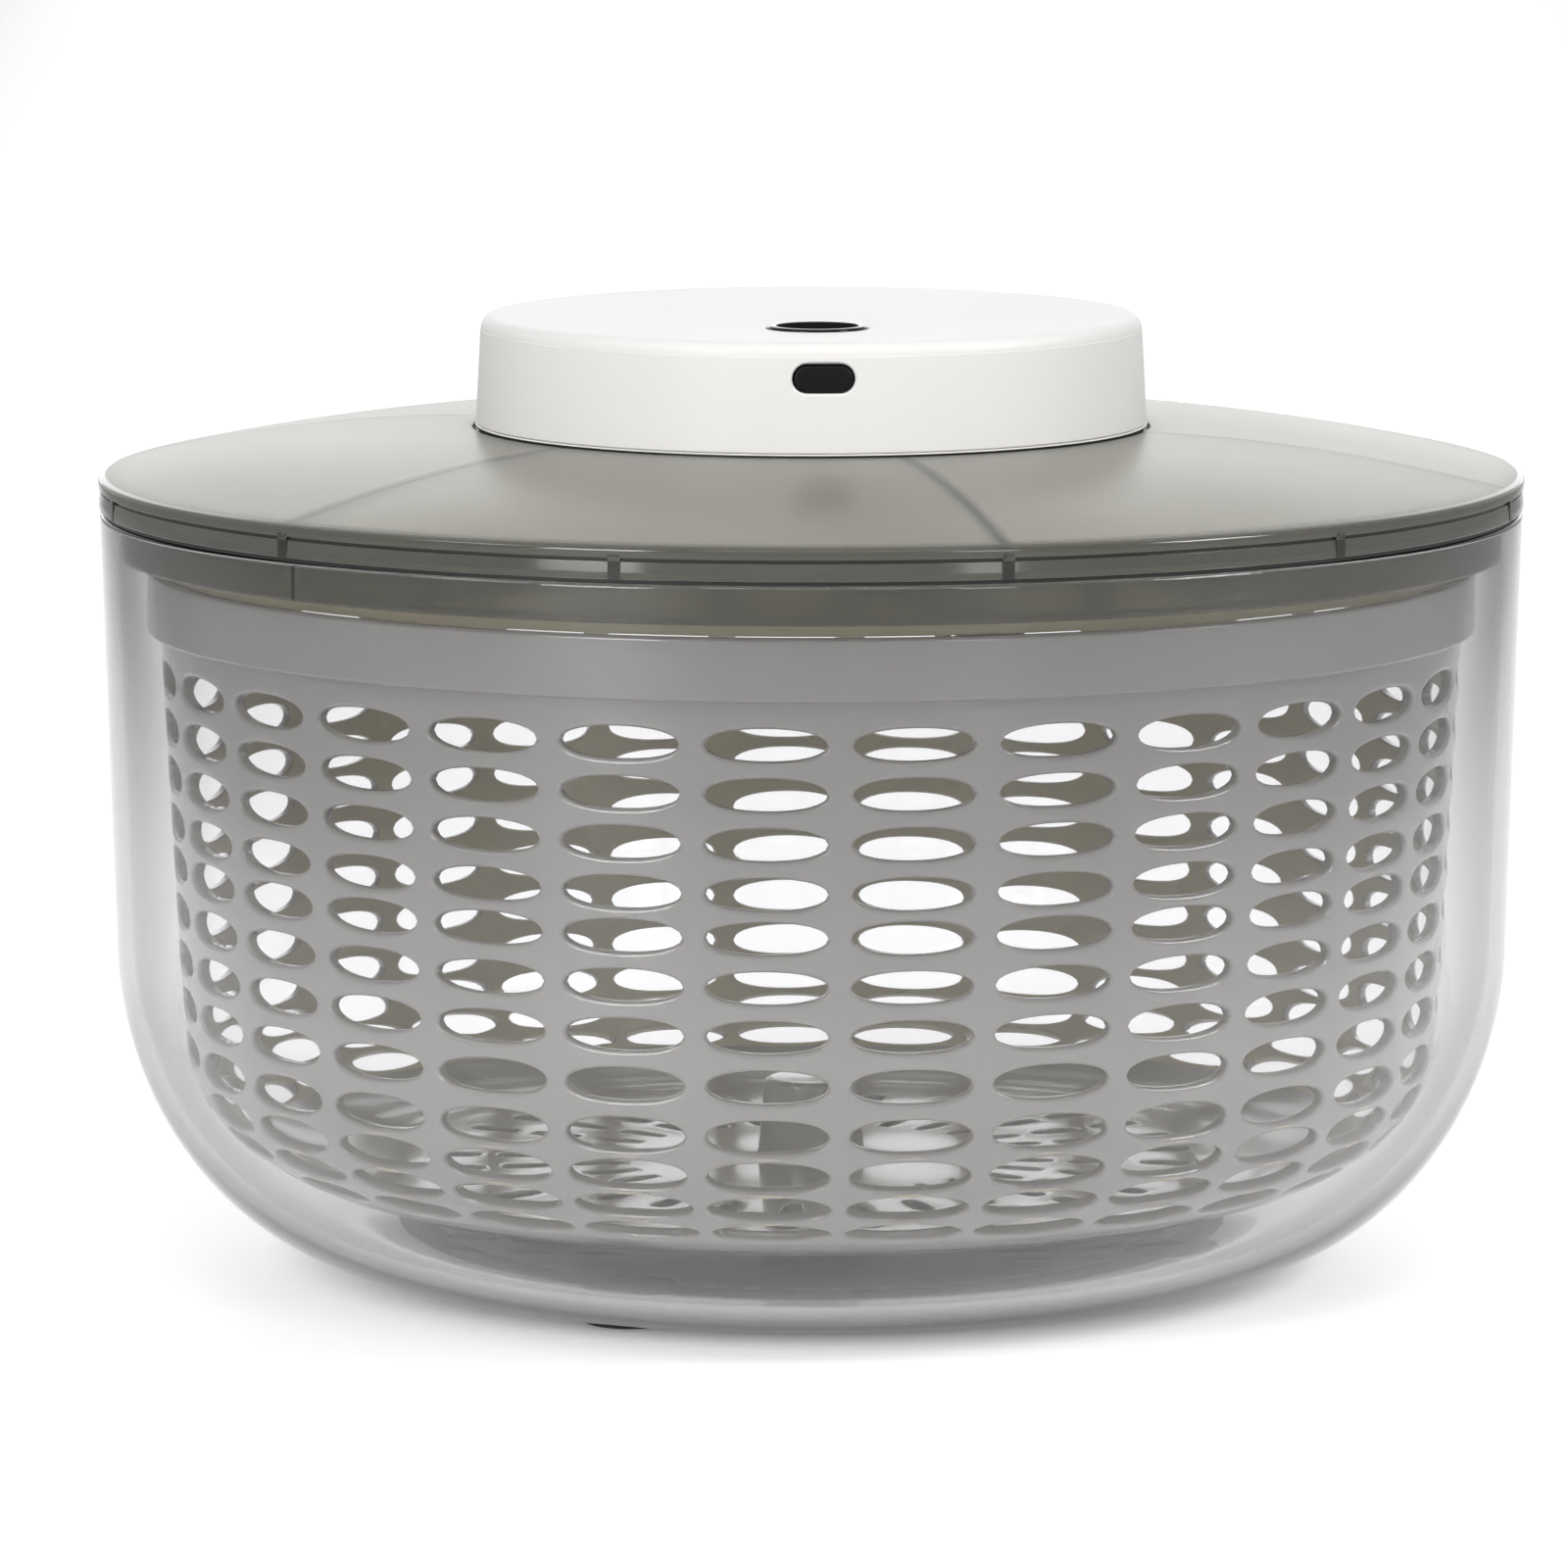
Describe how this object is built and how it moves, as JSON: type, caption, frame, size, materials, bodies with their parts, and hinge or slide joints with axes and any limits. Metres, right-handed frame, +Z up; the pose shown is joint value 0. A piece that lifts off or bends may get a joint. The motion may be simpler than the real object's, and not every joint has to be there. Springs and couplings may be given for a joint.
{
  "type": "salad spinner",
  "caption": "Round clear bowl with a perforated spinning basket, a smoked domed lid and a white round battery motor unit on top with a push button and a plugged charging port.",
  "frame": {"origin": "on the table surface, on the bowl's axis", "axes": "+Z up along the spin axis, the button and charging port face -Y"},
  "size_m": [0.26, 0.26, 0.1749],
  "materials": {
    "clear_bowl": "clear glossy plastic",
    "foot_rubber": "matt dark grey rubber",
    "steel": "ground steel",
    "acetal": "natural acetal",
    "basket_plastic": "glossy warm grey plastic",
    "smoke_lid": "smoked translucent plastic, satin outside",
    "seal_rubber": "black silicone",
    "carrier_plastic": "amber natural plastic",
    "white_housing": "white satin plastic",
    "brass": "sintered bronze and turned brass",
    "motor_steel": "zinc plated steel",
    "cell_wrap": "shrink wrapped cells",
    "board": "green circuit board",
    "switch_plastic": "black moulded switch",
    "socket_metal": "plated socket shell",
    "plug_rubber": "charcoal silicone",
    "button_gloss": "black high gloss",
    "screw_steel": "zinc plated screws"
  },
  "bodies": {
    "bowl": {"bowl": "clear_bowl", "foot_ring": "foot_rubber", "pivot_pin": "steel"},
    "pivot_cap": {"thrust_cap": "acetal"},
    "basket": {"basket": "basket_plastic"},
    "lid": {"lid_cover": "smoke_lid", "lid_skirt": "smoke_lid", "lid_seal": "seal_rubber", "lid_bush": "acetal"},
    "carrier": {"drive_carrier": "carrier_plastic", "drive_hub": "acetal", "hub_clip": "steel"},
    "motor_unit": {"unit_housing": "white_housing", "unit_base": "white_housing", "gearbox_plate": "steel", "idler_pin": "steel", "lower_bush": "brass", "upper_bush": "brass", "motor_can": "motor_steel", "battery_cells": "cell_wrap", "cell_cradle": "acetal", "circuit_board": "board", "button_switch": "switch_plastic", "charge_socket": "socket_metal", "housing_screws": "screw_steel", "plate_screws": "screw_steel", "board_screws": "screw_steel"},
    "output": {"output_shaft": "steel", "output_gear": "acetal", "drive_coupler": "acetal"},
    "idler": {"idler_gear": "acetal"},
    "rotor": {"motor_rotor": "steel", "motor_pinion": "brass"},
    "button": {"power_button": "button_gloss"},
    "plug": {"port_plug": "plug_rubber"}
  },
  "joints": [
    {"name": "basket_lift", "type": "slide", "parent": "bowl", "child": "pivot_cap", "axis": [0, 0, 1], "range_m": [0, 0.15]},
    {"name": "basket_spin", "type": "hinge", "parent": "pivot_cap", "child": "basket", "pos_m": [0, 0, 0.02], "axis": [0, 0, 1], "continuous": true},
    {"name": "lid_lift", "type": "slide", "parent": "pivot_cap", "child": "lid", "axis": [0, 0, 1], "range_m": [0, 0.12]},
    {"name": "carrier_spin", "type": "hinge", "parent": "lid", "child": "carrier", "pos_m": [0, 0, 0.135], "axis": [0, 0, 1], "continuous": true},
    {"name": "unit_lift", "type": "slide", "parent": "lid", "child": "motor_unit", "axis": [0, 0, 1], "range_m": [0, 0.06]},
    {"name": "output_spin", "type": "hinge", "parent": "motor_unit", "child": "output", "pos_m": [0, 0, 0.147], "axis": [0, 0, 1], "continuous": true},
    {"name": "idler_spin", "type": "hinge", "parent": "motor_unit", "child": "idler", "pos_m": [-0.02398, -0.00088, 0.149], "axis": [0, 0, 1], "continuous": true},
    {"name": "rotor_spin", "type": "hinge", "parent": "motor_unit", "child": "rotor", "pos_m": [-0.0231, -0.02486, 0.16], "axis": [0, 0, 1], "continuous": true},
    {"name": "button_press", "type": "slide", "parent": "motor_unit", "child": "button", "axis": [0, 0, -1], "range_m": [0, 0.0006], "stiffness_N_per_m": 400},
    {"name": "plug_pull", "type": "slide", "parent": "motor_unit", "child": "plug", "axis": [0.0366, -0.9993, 0], "range_m": [0, 0.012]}
  ],
  "couplings": [
    {"joint": "carrier_spin", "follows": "basket_spin", "ratio": 1},
    {"joint": "output_spin", "follows": "basket_spin", "ratio": 1},
    {"joint": "idler_spin", "follows": "basket_spin", "ratio": -2.75},
    {"joint": "rotor_spin", "follows": "basket_spin", "ratio": 9.0357}
  ]
}
